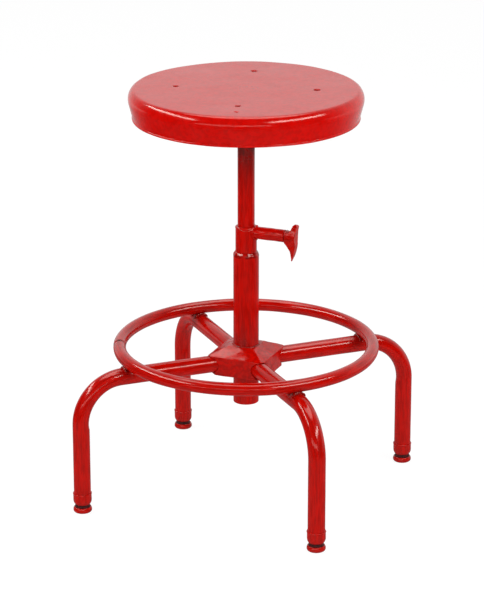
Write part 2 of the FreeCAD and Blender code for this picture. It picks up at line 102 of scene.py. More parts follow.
# %% Sizes that a box can't give
pan_radius = 172.0
pan_edge_radius = 7.0
pan_edge_turn = 50.0
pan_side_radius = 19.0
skirt_lean = math.radians(15)
hem_height = 3.4
hem_proud = 1.1
leg_radius = 12.7
leg_bend_radius = 67.0
leg_axis_height = leg_top - leg_radius
sleeve_radius = 15.875
sliding_gap = 0.1
leg_angles = {"right": 45, "back": 135, "left": 225, "front": 315}

# %% [markdown]
# Helpers for shapes
#
# Nearly everything on the stool is turned or is tube, so two tools make almost all of it: a lathe and
# a sweep. Both hand a list of rings to one function that skins them. An outline is written as corners
# with a rounding each, because paint and pressing leave no edge sharp.

# %% Outlines
def rounded(corners, closed=True, spacing=4.0, steps=5):
    """Points of an outline in mm. A corner is (across, up, rounding)."""
    points = []
    for place, (across, height, rounding) in enumerate(corners):
        corner = Vector((across, height))
        if rounding == 0:
            points.append(corner)
            continue
        before = Vector(corners[place - 1][:2]) - corner
        after = Vector(corners[(place + 1) % len(corners)][:2]) - corner
        start = corner + before.normalized() * rounding
        end = corner + after.normalized() * rounding
        for step in range(steps + 1):
            share = step / steps
            points.append(start * (1 - share) ** 2 + corner * 2 * share * (1 - share) + end * share ** 2)
    following = points[1:] + points[:1] if closed else points[1:]
    filled = []
    for here, there in zip(points, following):
        pieces = max(1, math.ceil((there - here).length / spacing))
        filled += [here.lerp(there, piece / pieces) for piece in range(pieces)]
    if not closed:
        filled.append(points[-1])
    return filled


def arc(across, height, radius, first, last, steps=14):
    """Corners along an arc. Angles are in degrees, from straight out."""
    turns = [math.radians(first + (last - first) * step / steps) for step in range(steps + 1)]
    return [(across + radius * math.cos(turn), height + radius * math.sin(turn), 0) for turn in turns]


# %% Skins, the lathe and the sweep
def skin(name, rings, ends):
    """A closed mesh through rings of points. ends is loop, capped or poles."""
    bm = bmesh.new()
    rows = [[bm.verts.new(point) for point in ring] for ring in rings]
    pairs = list(zip(rows, rows[1:]))
    if ends == "loop":
        pairs.append((rows[-1], rows[0]))
    for near, far in pairs:
        for place in range(len(near)):
            bm.faces.new((near[place - 1], near[place], far[place], far[place - 1]))
    if ends == "capped":
        bm.faces.new(rows[0])
        bm.faces.new(rows[-1])
    bmesh.ops.remove_doubles(bm, verts=bm.verts, dist=1e-7)
    bmesh.ops.recalc_face_normals(bm, faces=bm.faces)
    for face in bm.faces:
        face.smooth = True
    mesh = bpy.data.meshes.new(name)
    bm.to_mesh(mesh)
    bm.free()
    mesh.set_sharp_from_angle(angle=math.radians(50))
    piece = bpy.data.objects.new(name, mesh)
    bpy.context.scene.collection.objects.link(piece)
    return piece


def turned(name, outline, slices=96, ends="loop", place=Matrix.Identity(4)):
    """Turns an outline of (radius, height) points, in mm, about the Z axis, then puts it in place."""
    turns = [2 * math.pi * step / slices for step in range(slices)]
    rings = []
    for point in outline:
        radius = point.x * mm
        height = point.y * mm
        rings.append([place @ Vector((radius * math.cos(t), radius * math.sin(t), height)) for t in turns])
    return skin(name, rings, ends)


def swept(name, path, across, radius, slices=48, ends="capped"):
    """A tube along path. across stands square to the path's plane; radius(step, turn) is in metres."""
    rings = []
    for step, point in enumerate(path):
        if ends == "loop":
            along = path[(step + 1) % len(path)] - path[step - 1]
        else:
            along = path[min(step + 1, len(path) - 1)] - path[max(step - 1, 0)]
        lift = along.normalized().cross(across)
        ring = []
        for place in range(slices):
            turn = 2 * math.pi * place / slices
            ring.append(point + (across * math.cos(turn) + lift * math.sin(turn)) * radius(step, turn))
        rings.append(ring)
    return skin(name, rings, ends)


# %% Unevenness, cuts and modifiers
def wobble(piece, depth, cell, seed):
    """Moves each point along its normal by smooth noise. depth and cell are in mm."""
    shift = Vector((7.3, 3.1, 5.7)) * seed
    moved = []
    for point, normal in [(v.co.copy(), v.normal.copy()) for v in piece.data.vertices]:
        moved.extend(point + normal * noise.noise(point / (cell * mm) + shift) * depth * mm)
    piece.data.vertices.foreach_set("co", moved)
    piece.data.update()


def settle(piece):
    """Applies the piece's modifiers, so that its mesh is final."""
    graph = bpy.context.evaluated_depsgraph_get()
    final = bpy.data.meshes.new_from_object(piece.evaluated_get(graph))
    piece.modifiers.clear()
    piece.data = final


def cut(piece, cutters):
    """Takes each cutter's shape out of the piece, and removes the cutter."""
    for cutter in cutters:
        trim = piece.modifiers.new("trim", "BOOLEAN")
        trim.object = cutter
        trim.operation = "DIFFERENCE"
        trim.solver = "EXACT"
    settle(piece)
    for cutter in cutters:
        bpy.data.objects.remove(cutter)


def drill(radius, foot, top, place=Matrix.Identity(4)):
    """A plain rod to cut with, in mm."""
    return turned("drill", rounded([(0, foot, 0), (radius, foot, 0), (radius, top, 0), (0, top, 0)],
                                   closed=False, spacing=50), slices=40, ends="poles", place=place)


# %% [markdown]
# Colours and nodes
#
# Blender's colour sockets are linear, while a colour given here is sRGB, so one function turns a hex
# value to linear. Another adds any kind of node with its settings and links, which keeps a material
# down to one line a node.

# %% Colour and node helpers
def colour(code):
    """An sRGB hex value as linear red, green, blue and alpha."""
    channels = [int(code[place:place + 2], 16) / 255 for place in (1, 3, 5)]
    linear = [c / 12.92 if c <= 0.04045 else ((c + 0.055) / 1.055) ** 2.4 for c in channels]
    return (*linear, 1.0)


def add(tree, kind, settings=None, sockets=None):
    """Adds a node. settings are its own properties; sockets hold values, or outputs to link."""
    made = tree.nodes.new(kind)
    for name, value in (settings or {}).items():
        setattr(made, name, value)
    for name, value in (sockets or {}).items():
        if isinstance(value, bpy.types.NodeSocket):
            tree.links.new(value, made.inputs[name])
        else:
            made.inputs[name].default_value = value
    return made


def empty_material(name):
    material = bpy.data.materials.new(name)
    material.use_nodes = True
    material.node_tree.nodes.clear()
    return material, material.node_tree


def per_metre(size):
    """The scale of a pattern whose cells are size mm wide."""
    return 1 / (size * mm)


# %% [markdown]
# Red enamel
#
# Alkyd enamel is a glossy varnish full of pigment: a refractive index near 1.5, no metal in it, and a
# roughness under 0.3. Brushed on by hand it dries with fine ridges along the stroke and an
# orange-peel skin, which break every highlight into dashes. Old oil, rust and the undercoat darken it
# in lengthwise streaks. Where tubes meet it is darker too, partly from dirt and partly from painted
# shade, a dark colour standing in for the shade in those creases.
#
# The strokes need to know which way the brush ran. Each piece stores that as a vector called
# paint_run, squeezed along the stroke, so ordinary noise comes out stretched. A second number says
# how near a point is to a weld or a joint and how dark it is painted there: partly dirt, partly
# painted shade. Both are stored on the mesh, so they move with it.

# %% The enamel material
stroke_squeeze = 0.1


def enamel(name, fresh, deep, stain, specks=(), stain_share=0.75):
    material, tree = empty_material(name)
    run = add(tree, "ShaderNodeAttribute", {"attribute_name": "paint_run"}).outputs["Vector"]
    # the second attribute marks where joints are painted dark: partly dirt, partly painted shade
    dirt_and_shade = add(tree, "ShaderNodeAttribute", {"attribute_name": "dirt_and_shade"}).outputs["Fac"]
    place = add(tree, "ShaderNodeTexCoord").outputs["Object"]
    # brush strokes about 2.5 mm wide and ten times as long
    strokes = add(tree, "ShaderNodeTexNoise", {}, {
        "Vector": run, "Scale": per_metre(2.5), "Detail": 3.0, "Roughness": 0.55})
    shade = add(tree, "ShaderNodeMapRange", {"interpolation_type": "SMOOTHSTEP"}, {
        "Value": strokes.outputs["Fac"], "From Min": 0.38, "From Max": 0.66})
    paint = add(tree, "ShaderNodeMix", {"data_type": "RGBA"}, {
        0: shade.outputs["Result"], 6: colour(fresh), 7: colour(deep)})
    # patches where the coat is thin, about 28 mm across
    patches = add(tree, "ShaderNodeTexNoise", {}, {
        "Vector": place, "Scale": per_metre(28), "Detail": 4.0, "Roughness": 0.6})
    thin = add(tree, "ShaderNodeMapRange", {"interpolation_type": "SMOOTHSTEP"}, {
        "Value": patches.outputs["Fac"], "From Min": 0.46, "From Max": 0.72, "To Max": 0.3})
    patched = add(tree, "ShaderNodeMix", {"data_type": "RGBA"}, {
        0: thin.outputs["Result"], 6: paint.outputs[2], 7: colour(deep)})
    # dark streaks of old finish showing through, about 6 mm wide
    streaks = add(tree, "ShaderNodeTexNoise", {}, {
        "Vector": run, "Scale": per_metre(6), "Detail": 5.0, "Roughness": 0.65, "Distortion": 0.3})
    streak = add(tree, "ShaderNodeMapRange", {"interpolation_type": "SMOOTHSTEP"}, {
        "Value": streaks.outputs["Fac"], "From Min": 0.58, "From Max": 0.74, "To Max": stain_share})
    streaked = add(tree, "ShaderNodeMix", {"data_type": "RGBA"}, {
        0: streak.outputs["Result"], 6: patched.outputs[2], 7: colour(stain)})
    # dirt and painted shade at the joints, broken up by a 5 mm noise
    crumbs = add(tree, "ShaderNodeTexNoise", {}, {
        "Vector": place, "Scale": per_metre(5), "Detail": 4.0, "Roughness": 0.7})
    broken = add(tree, "ShaderNodeMath", {"operation": "MULTIPLY_ADD"}, {
        0: crumbs.outputs["Fac"], 1: 1.6, 2: -0.15})
    dirt_and_shade_marks = add(tree, "ShaderNodeMath", {"operation": "MULTIPLY", "use_clamp": True}, {
        0: broken.outputs[0], 1: dirt_and_shade})
    dirt_and_shade_mixed = add(tree, "ShaderNodeMix", {"data_type": "RGBA"}, {
        0: dirt_and_shade_marks.outputs[0], 6: streaked.outputs[2], 7: colour("#300502")})
    top = dirt_and_shade_mixed.outputs[2]
    if specks:
        # weld pocks under the paint, each a dark dot about 2 mm across
        nearest = None
        for point in specks:
            gap = add(tree, "ShaderNodeVectorMath", {"operation": "DISTANCE"}, {0: place, 1: point})
            if nearest is None:
                nearest = gap.outputs["Value"]
            else:
                nearest = add(tree, "ShaderNodeMath", {"operation": "MINIMUM"}, {
                    0: nearest, 1: gap.outputs["Value"]}).outputs[0]
        dot = add(tree, "ShaderNodeMapRange", {"interpolation_type": "SMOOTHSTEP"}, {
            "Value": nearest, "From Min": 0.9 * mm, "From Max": 1.8 * mm, "To Min": 0.75, "To Max": 0.0})
        top = add(tree, "ShaderNodeMix", {"data_type": "RGBA"}, {
            0: dot.outputs["Result"], 6: top, 7: colour("#5A0808")}).outputs[2]
    # gloss: duller in the streaks and where dirt and painted shade are marked
    gloss = add(tree, "ShaderNodeMapRange", {}, {
        "Value": streaks.outputs["Fac"], "From Min": 0.3, "From Max": 0.75, "To Min": 0.08, "To Max": 0.22})
    dull = add(tree, "ShaderNodeMath", {"operation": "MULTIPLY_ADD", "use_clamp": True}, {
        0: dirt_and_shade_marks.outputs[0], 1: 0.4, 2: gloss.outputs["Result"]})
    # relief: orange peel of 1.8 mm cells over brush ridges of 1.1 mm
    peel = add(tree, "ShaderNodeTexNoise", {}, {"Vector": place, "Scale": per_metre(1.8), "Detail": 1.0})
    ridges = add(tree, "ShaderNodeTexNoise", {}, {"Vector": run, "Scale": per_metre(1.1), "Detail": 1.0})
    relief = add(tree, "ShaderNodeMath", {"operation": "MULTIPLY_ADD"}, {
        0: ridges.outputs["Fac"], 1: 0.4, 2: peel.outputs["Fac"]})
    bump = add(tree, "ShaderNodeBump", {}, {
        "Height": relief.outputs[0], "Strength": 1.0, "Distance": 0.055 * mm})
    shader = add(tree, "ShaderNodeBsdfPrincipled", {}, {
        "Base Color": top, "Roughness": dull.outputs[0], "IOR": 1.5,
        "Specular Tint": colour("#FFF8EE"), "Normal": bump.outputs["Normal"]})
    add(tree, "ShaderNodeOutputMaterial", {}, {"Surface": shader.outputs["BSDF"]})
    return material


spot_marks = [Vector((x * mm, y * mm, seat_height * mm)) for x, y in (
    (-11, 3), (-2, 8), (4, 12), (10, 3), (15, 7), (34, 26), (-6, -9))]
seat_enamel = enamel("brushed_gloss_enamel_seat", "#D90500", "#C80500", "#9C0802", spot_marks, 0.22)
tube_enamel = enamel("brushed_gloss_enamel_tube", "#CC0800", "#AE0600", "#5C0602", (), 0.45)
weld_enamel = enamel("gloss_enamel_over_weld", "#BC0802", "#840602", "#3A0602")
print(len(tube_enamel.node_tree.nodes), "nodes in the enamel")

# %% [markdown]
# The metals and the rubber
#
# A metal keeps the default refractive index and takes its colour from the base. Ground bearing steel is
# bright and smooth, turned steel shows rings 0.4 mm apart, bronze is warmer, and blacked steel is an
# oiled oxide, dark and half dull. The rubber washers were painted over with the rest. Their dull dark
# red, much darker than the enamel, is partly painted shade for the narrow neck between ferrule and glide.

# %% Metal and rubber materials
def metal(name, bright, dark, roughness, metallic, grain):
    """grain is the size in mm of the marks that machining or handling left."""
    material, tree = empty_material(name)
    place = add(tree, "ShaderNodeTexCoord").outputs["Object"]
    squeeze = add(tree, "ShaderNodeMapping", {}, {"Vector": place, "Scale": (0.15, 0.15, 1.0)})
    marks = add(tree, "ShaderNodeTexNoise", {}, {
        "Vector": squeeze.outputs["Vector"], "Scale": per_metre(grain), "Detail": 3.0})
    smears = add(tree, "ShaderNodeTexNoise", {}, {
        "Vector": place, "Scale": per_metre(9), "Detail": 4.0, "Roughness": 0.6})
    tint = add(tree, "ShaderNodeMapRange", {"interpolation_type": "SMOOTHSTEP"}, {
        "Value": smears.outputs["Fac"], "From Min": 0.35, "From Max": 0.7})
    base = add(tree, "ShaderNodeMix", {"data_type": "RGBA"}, {
        0: tint.outputs["Result"], 6: colour(bright), 7: colour(dark)})
    dull = add(tree, "ShaderNodeMapRange", {}, {
        "Value": smears.outputs["Fac"], "To Min": roughness * 0.7, "To Max": roughness * 1.4})
    bump = add(tree, "ShaderNodeBump", {}, {
        "Height": marks.outputs["Fac"], "Strength": 0.6, "Distance": 0.03 * mm})
    shader = add(tree, "ShaderNodeBsdfPrincipled", {}, {
        "Base Color": base.outputs[2], "Metallic": metallic,
        "Roughness": dull.outputs["Result"], "Normal": bump.outputs["Normal"]})
    add(tree, "ShaderNodeOutputMaterial", {}, {"Surface": shader.outputs["BSDF"]})
    return material


finishes = {
    "red_enamel": tube_enamel,
    "bearing_steel": metal("ground_bearing_steel", "#C9CBCE", "#8F9296", 0.18, 1.0, 0.3),
    "bearing_bronze": metal("oiled_bearing_bronze", "#B98A4E", "#6E4A24", 0.34, 1.0, 0.4),
    "bare_steel": metal("turned_mild_steel", "#9A9C9F", "#5A5856", 0.38, 1.0, 0.4),
    "blacked_steel": metal("blacked_steel", "#2A2A2C", "#151517", 0.45, 1.0, 0.5),
    # the washers' dark red is partly painted shade for the narrow neck
    "cushion_rubber": metal("painted_rubber_with_painted_shade", "#5C0B0A", "#2C0706", 0.6, 0.0, 1.2),
}

# %% Give every CAD node its finish
slot_of = {row["node"]: row["material_slot"] for row in frame["record"]["subparts"]}
for node_name, node in frame["nodes"].items():
    node.data.materials.clear()
    node.data.materials.append(finishes[slot_of[node_name]])
print(sorted(set(slot_of.values())))

# %% [markdown]
# Fitting a piece
#
# Each new skin rides on the body that carries the node it stands for, and hides that node. The paint
# marks, the dirt and painted shade at the joints among them, are stored last, when the mesh no longer
# changes.

# %% Paint marks and fitting
def upright_run(point):
    return (point.x, point.y, point.z * stroke_squeeze)


def round_run(point):
    return (point.x * stroke_squeeze, point.y * stroke_squeeze, point.z)


def free_run(point):
    return point * 0.4


def fit(piece, body, nodes, run, dirt_and_shade_marks=(), finish=tube_enamel):
    """The dark marks list (place, reach, amount): how dark a joint is painted, for dirt and for shade, and
    how far that spreads, in metres.
    """
    points = [vertex.co.copy() for vertex in piece.data.vertices]
    strokes = [part for point in points for part in run(point)]
    dirt_and_shade = []
    for point in points:
        darkest = 0.0
        for place, reach, amount in dirt_and_shade_marks:
            gap = (point - place).length / reach
            darkest = max(darkest, amount * math.exp(-gap * gap))
        dirt_and_shade.append(darkest)
    piece.data.attributes.new("paint_run", "FLOAT_VECTOR", "POINT").data.foreach_set("vector", strokes)
    piece.data.attributes.new("dirt_and_shade", "FLOAT", "POINT").data.foreach_set("value", dirt_and_shade)
    piece.data.materials.clear()
    piece.data.materials.append(finish)
    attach(piece, body)
    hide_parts(*nodes)
    print(piece.name, len(piece.data.polygons), "faces")


# %% [markdown]
# Seat pan
#
# One disc of sheet steel, pressed into a lid: flat top, rolled edge, a skirt that draws in, and a hem
# with a small bead. It could be a cylinder with a bevel, but the roll carries the brightest
# highlights of the whole stool, so it is turned from its true outline with many slices, then dented a
# little as decades of use have done. The four pad holes and the small drain hole are drilled after.

# %% Seat pan
def pan_side(inset):
    """A tight roll, an easier one and the skirt, from the flat top down, inset by a thickness."""
    meeting = math.radians(90 - pan_edge_turn)
    ease = pan_side_radius - pan_edge_radius
    across = pan_radius - pan_side_radius
    height = seat_height - pan_edge_radius
    roll = arc(across + ease * math.cos(meeting), height, pan_edge_radius - inset, 90, 90 - pan_edge_turn, 8)
    roll += arc(across, height - ease * math.sin(meeting), pan_side_radius - inset,
                90 - pan_edge_turn, -math.degrees(skirt_lean))[1:]
    end_radius, end_height, _ = roll[-1]
    foot_radius = end_radius - (end_height - pan_foot) * math.tan(skirt_lean)
    return roll, foot_radius


outer_roll, outer_foot = pan_side(0)
inner_roll, inner_foot = pan_side(pan_sheet)
bead_top = outer_foot + hem_height * math.tan(skirt_lean)
pan_corners = [(0, seat_height, 0)] + outer_roll
pan_corners += [(bead_top, pan_foot + hem_height, 0.5)]
pan_corners += arc(bead_top - 0.7, pan_foot + hem_height / 2, 0.7 + hem_proud, 50, -50, 6)
pan_corners += [(outer_foot, pan_foot, 0.4), (inner_foot, pan_foot, 0.4)]
pan_corners += inner_roll[::-1] + [(0, seat_height - pan_sheet, 0)]
pan = turned("seat_pan_skin", rounded(pan_corners, closed=False, spacing=5), slices=288, ends="poles")
wobble(pan, 0.5, 75, 1)
wobble(pan, 0.16, 26, 2)
highest = max(vertex.co.z for vertex in pan.data.vertices)
pan.data.transform(Matrix.Translation((0, 0, seat_height * mm - highest)))
print("pan", len(pan.data.vertices), "points")

# %% Holes in the pan
pad_hole_circle = 206.0
pad_hole_turn = math.radians(15.9)
drain_hole_distance = 139.0
drain_hole_turn = math.radians(-73.2)


def pan_drill(radius, distance, turn, soften):
    """A drill that also takes the edge off, since paint never leaves a hole sharp."""
    place = Matrix.Translation((distance * mm * math.cos(turn), distance * mm * math.sin(turn), 0))
    corners = [(0, seat_height - 4, 0), (radius, seat_height - 4, 0), (radius, seat_height - 1.3, 0)]
    corners += [(radius + soften * 0.3, seat_height - 0.8, 0), (radius + soften, seat_height - 0.35, 0)]
    corners += [(radius + soften * 1.4, seat_height + 1, 0), (0, seat_height + 1, 0)]
    return turned("drill", rounded(corners, closed=False, spacing=50), slices=40, ends="poles", place=place)


pad_hole_radius = 4.0
drain_hole_radius = 1.9
pad_hole_turns = [pad_hole_turn + math.pi / 2 * k for k in range(4)]
drills = [pan_drill(pad_hole_radius, pad_hole_circle / 2, turn, 1.2) for turn in pad_hole_turns]
drills.append(pan_drill(drain_hole_radius, drain_hole_distance, drain_hole_turn, 0.4))
cut(pan, drills)
# the paint round each pad hole is darkened: painted shade that widens the hole's dark inside, with some dirt
hole_dirt_and_shade = []
for turn in pad_hole_turns:
    across = pad_hole_circle / 2
    hole = Vector((across * math.cos(turn), across * math.sin(turn), seat_height)) * mm
    hole_dirt_and_shade.append((hole, 6.0 * mm, 0.6))
fit(pan, "seat", ["seat_pan"], free_run, hole_dirt_and_shade, finish=seat_enamel)

# %% [markdown]
# Post, neck and column
#
# Three steel tubes that telescope: the 1 inch post slides in the sleeve, whose end is the neck, and the
# sleeve is let into the 1 1/2 inch column. A lathe makes each, walls and bore together. A weld bead
# closes the shoulder of the column, and brushed paint has pooled in it.

# %% Post
def pipe(name, radius, bore, foot, top, edge=0.5):
    corners = [(bore, foot, edge), (radius, foot, edge), (radius, top, edge), (bore, top, edge)]
    return turned(name, rounded(corners, spacing=6), slices=72)


post = pipe("seat_post_skin", post_radius, post_radius - 3.05, foot_of("seat_post"), top_of("seat_post"))
wobble(post, 0.04, 20, 3)
# the top of the post under the seat is darkened: painted shade under the pan, with some dirt
post_dirt_and_shade = [(Vector((0, 0, top_of("seat_post") * mm)), 38 * mm, 1.5)]
fit(post, "post", ["seat_post"], upright_run, post_dirt_and_shade)

# %% Neck and its dressed lip
bore = post_radius + sliding_gap
neck_corners = [(bore, sleeve_foot, 0.3), (sleeve_radius, sleeve_foot, 0.3)]
neck_corners += [(sleeve_radius, sleeve_top - 4.4, 0.6)]
neck_corners += arc(sleeve_radius - 1.3, sleeve_top - 2.2, 1.8, -60, 70, 8)
neck_corners += [(bore, sleeve_top - 0.3, 0.2)]
neck = turned("neck_skin", rounded(neck_corners, spacing=4), slices=96)
along_x = Matrix.Translation((0, 0, boss_height * mm)) @ Matrix.Rotation(math.pi / 2, 4, "Y")
screw_bore = 4.8625
cut(neck, [drill(screw_bore, 0, 24, along_x)])
# the neck is darkened toward the shoulder: dirt and painted shade in that crease
fit(neck, "base", ["guide_sleeve"], upright_run, [(Vector((0, 0, column_top * mm)), 14 * mm, 0.3)])

# %% Column and its shoulder
column = pipe("column_skin", column_radius, 16.0, column_foot, column_top, 0.8)
wobble(column, 0.08, 24, 4)
hub_top = top_of("hub_shell")
# the column is darkened where it stands in the hub: dirt and painted shade in that crease
column_dirt_and_shade = [(Vector((0, y * mm, (hub_top + 4) * mm)), 17 * mm, 0.55) for y in (-19, 19)]
fit(column, "base", ["column_tube"], upright_run, column_dirt_and_shade)

shoulder_top = top_of("shoulder_weld")
shoulder_corners = [(sleeve_radius - 0.6, column_top - 0.6, 0)]
shoulder_corners += [(column_radius, column_top - 0.6, 0), (column_radius, column_top + 1.2, 0)]
shoulder_corners += [(column_radius - 0.3, column_top + 3.4, 1.0)]
shoulder_corners += [(sleeve_radius + 0.9, shoulder_top - 0.8, 0.8)]
shoulder_corners += [(sleeve_radius - 0.6, shoulder_top, 0)]
shoulder = turned("shoulder_weld_skin", rounded(shoulder_corners, spacing=1.0), slices=160)
wobble(shoulder, 0.5, 5.5, 5)
fit(shoulder, "base", ["shoulder_weld"], free_run, finish=weld_enamel)

# %% [markdown]
# Hub
#
# A pressed steel box with a low crowned lid. The four legs run out through its corners and the column
# stands through the middle. The CAD solids have the right form but knife edges, so their meshes are
# joined, rebuilt as one skin of small voxels and smoothed a little, which leaves the soft corners
# that pressing and paint leave.

# %% Hub box
def voxel_copy(name, nodes, voxel, smoothing):
    """One rounded skin over copies of some nodes."""
    bm = bmesh.new()
    for node_name in nodes:
        bm.from_mesh(frame["nodes"][node_name].data)
    bmesh.ops.remove_doubles(bm, verts=bm.verts, dist=1e-6)
    mesh = bpy.data.meshes.new(name)
    bm.to_mesh(mesh)
    bm.free()
    piece = bpy.data.objects.new(name, mesh)
    bpy.context.scene.collection.objects.link(piece)
    remesh = piece.modifiers.new("rebuild", "REMESH")
    remesh.mode = "VOXEL"
    remesh.voxel_size = voxel * mm
    remesh.use_smooth_shade = True
    soften = piece.modifiers.new("soften", "SMOOTH")
    soften.factor = 0.5
    soften.iterations = smoothing
    settle(piece)
    return piece


hub = voxel_copy("hub_skin", ["hub_shell", "hub_floor"], 0.8, 4)
wobble(hub, 0.5, 17, 6)
# the hub top is darkened round the column: dirt and painted shade
hub_dirt_and_shade = [(Vector((0, 0, hub_top * mm)), 26 * mm, 0.35)]
fit(hub, "base", ["hub_shell", "hub_floor"], free_run, hub_dirt_and_shade)

# %% [markdown]
# Weld beads
#
# A hand-laid bead is a row of overlapping drops. Each bead here is a thin sweep whose radius ripples
# along its run, with noise over that so no two drops match.

# %% Bead helper and the bead round the column
def bead(name, path, across, radius, ripple, seed, ends="poles"):
    """A rippled bead. radius and ripple, the length of one drop, are in mm."""
    lengths = [0.0]
    for here, there in zip(path, path[1:]):
        lengths.append(lengths[-1] + (there - here).length)
    whole = lengths[-1]

    def swell(step, turn):
        drop = abs(math.sin(math.pi * lengths[step] / (ripple * mm)))
        size = radius * (0.82 + 0.22 * drop)
        if ends == "poles":
            share = lengths[step] / whole
            size *= math.sqrt(max(0.0, 1 - abs(2 * share - 1) ** 6))
        return size * mm

    piece = swept(name, path, across, swell, slices=20, ends=ends)
    wobble(piece, radius * 0.3, ripple * 1.3, seed)
    return piece


def circle_path(radius, height, steps, first=0.0, sweep=2 * math.pi):
    turns = [first + sweep * step / steps for step in range(steps)]
    return [Vector((radius * math.cos(t), radius * math.sin(t), height)) * mm for t in turns]


hub_bead = bead("hub_weld_skin", circle_path(column_radius, hub_top - 0.4, 260),
                Vector((0, 0, 1)), 1.9, 5.0, 7, ends="loop")
quarters = [(0, -20), (0, 20), (20, 0), (-20, 0)]
# the bead round the column is darkened: dirt and painted shade in the crease
bead_dirt_and_shade = [(Vector((x * mm, y * mm, hub_top * mm)), 15 * mm, 0.6) for x, y in quarters]
fit(hub_bead, "base", ["hub_weld_bead"], free_run, bead_dirt_and_shade, finish=weld_enamel)

# %% [markdown]
# Legs
#
# One length of 1 inch tube each, level out of the hub and bent down over a former. Cold bending
# flattens the inside of the bend and leaves a step where the former ended, so the section of the
# sweep changes along the bend.

# %% Legs
def polar(radius, degrees, height):
    turn = math.radians(degrees)
    return Vector((radius * math.cos(turn), radius * math.sin(turn), height)) * mm


def leg_path(degrees):
    """Points along the leg's axis, with the share of the bend that each has reached."""
    bend_out = leg_circle_radius - leg_bend_radius
    bend_down = leg_axis_height - leg_bend_radius
    path = [(polar(column_radius + 1 + (bend_out - column_radius - 1) * k / 40, degrees, leg_axis_height), 0)
            for k in range(40)]
    for k in range(61):
        turn = math.pi / 2 * k / 60
        out = bend_out + leg_bend_radius * math.sin(turn)
        path.append((polar(out, degrees, bend_down + leg_bend_radius * math.cos(turn)), k / 60))
    drop = bend_down - leg_foot
    for k in range(1, 31):
        path.append((polar(leg_circle_radius, degrees, bend_down - drop * k / 30), 1 + k / 30))
    return path


def leg_section(shares):
    """Radius of the tube, flattened on the inside of the bend."""
    def radius(step, turn):
        share = shares[step]
        reach = drop_share * (share - 1) if share > 1 else 0.0
        fade = 0.0
        if 0 < share <= 1:
            fade = math.sin(math.pi / 2 * min(1, share / 0.3)) ** 2
        elif share > 1:
            fade = max(0.0, 1 - reach / former_mark) ** 2 * (3 - 2 * max(0.0, 1 - reach / former_mark))
        inside = max(0.0, -math.sin(turn))
        return (leg_radius - bend_flat * fade * inside ** 3) * mm
    return radius


bend_flat = 1.6
former_mark = 9.0
drop_share = leg_axis_height - leg_bend_radius - leg_foot


def leg_run(degrees):
    """The stroke runs down the leg, round the bend and to the foot."""
    outward = polar(1, degrees, 0) / mm
    sideways = polar(1, degrees + 90, 0) / mm
    bend_out = (leg_circle_radius - leg_bend_radius) * mm
    bend_down = (leg_axis_height - leg_bend_radius) * mm

    def run(point):
        out = point.dot(outward) - bend_out
        down = point.z - bend_down
        if out < 0:
            along, lift = out, down
        elif down > 0:
            along = leg_bend_radius * mm * math.atan2(out, down)
            lift = math.hypot(out, down)
        else:
            along, lift = leg_bend_radius * mm * math.pi / 2 - down, out
        return (along * stroke_squeeze, point.dot(sideways), lift + degrees)
    return run


for leg_name, degrees in leg_angles.items():
    stations = leg_path(degrees)
    centre_line = [point for point, share in stations]
    sideways = polar(1, degrees + 90, 0) / mm
    tube = swept("leg_" + leg_name + "_skin", centre_line, sideways, leg_section([s for p, s in stations]))
    wobble(tube, 0.12, 26, 10 + degrees)
    # each leg is darkened under the ring crossing and where it leaves the hub: dirt and painted shade
    dirt_and_shade_marks = [(polar(ring_radius - 6, degrees, leg_top), 17 * mm, 0.6)]
    dirt_and_shade_marks.append((polar(60, degrees, leg_top), 9 * mm, 0.3))
    fit(tube, "base", ["leg_" + leg_name], leg_run(degrees), dirt_and_shade_marks)

# %% [markdown]
# Foot ring
#
# A length of 3/4 inch tube rolled into a hoop and butted, with a spigot inside the joint. It lies on top
# of the legs and is welded down where it crosses them, front and back of each crossing.

# %% Foot ring
ring_seam = math.radians(-156)
seam_gap = 1.5 / ring_radius
ring_path = circle_path(ring_radius, ring_height, 480, ring_seam + seam_gap / 2, 2 * math.pi - seam_gap)
ring_path.append(circle_path(ring_radius, ring_height, 1, ring_seam - seam_gap / 2)[0])
ring_end = len(ring_path) - 1


def ring_section(step, turn):
    """The saw left the two ends very slightly rounded."""
    from_end = min(step, ring_end - step)
    return (ring_tube_radius - (0.9 if from_end == 0 else 0.0)) * mm


def ring_run(point):
    turn = (math.atan2(point.y, point.x) - ring_seam) % (2 * math.pi)
    return (turn * ring_radius * mm * stroke_squeeze, math.hypot(point.x, point.y), point.z)


crossings = [polar(ring_radius, degrees, leg_top + 3) for degrees in leg_angles.values()]
ring = swept("foot_ring_skin", ring_path, Vector((0, 0, 1)), ring_section, slices=40)
wobble(ring, 0.18, 34, 8)
# the ring is darkened at each crossing: dirt and painted shade
ring_dirt_and_shade = [(place, 15 * mm, 0.55) for place in crossings]
# the three strong marks at the butt seam paint its gap dark: painted shade in the gap, with some dirt
seam_degrees = math.degrees(ring_seam)
for side in (-1, 0, 1):
    rise = ring_tube_radius if side == 0 else 0
    skin_radius = ring_radius + side * ring_tube_radius
    ring_dirt_and_shade.append((polar(skin_radius, seam_degrees, ring_height + rise), 4 * mm, 2.2))
fit(ring, "base", ["foot_ring"], ring_run, ring_dirt_and_shade)

# %% Welds where the ring crosses the legs
def saddle_path(degrees, along):
    """Over the top of a leg, from one flank to the other, along mm outward of the ring's middle."""
    outward = polar(1, degrees, 0) / mm
    sideways = polar(1, degrees + 90, 0) / mm
    path = []
    for step in range(41):
        turn = math.radians(-58 + 116 * step / 40)
        offset = sideways * math.sin(turn) + Vector((0, 0, 1)) * math.cos(turn)
        path.append(polar(ring_radius + along, degrees, leg_axis_height) + offset * (leg_radius + 0.5) * mm)
    return path, outward


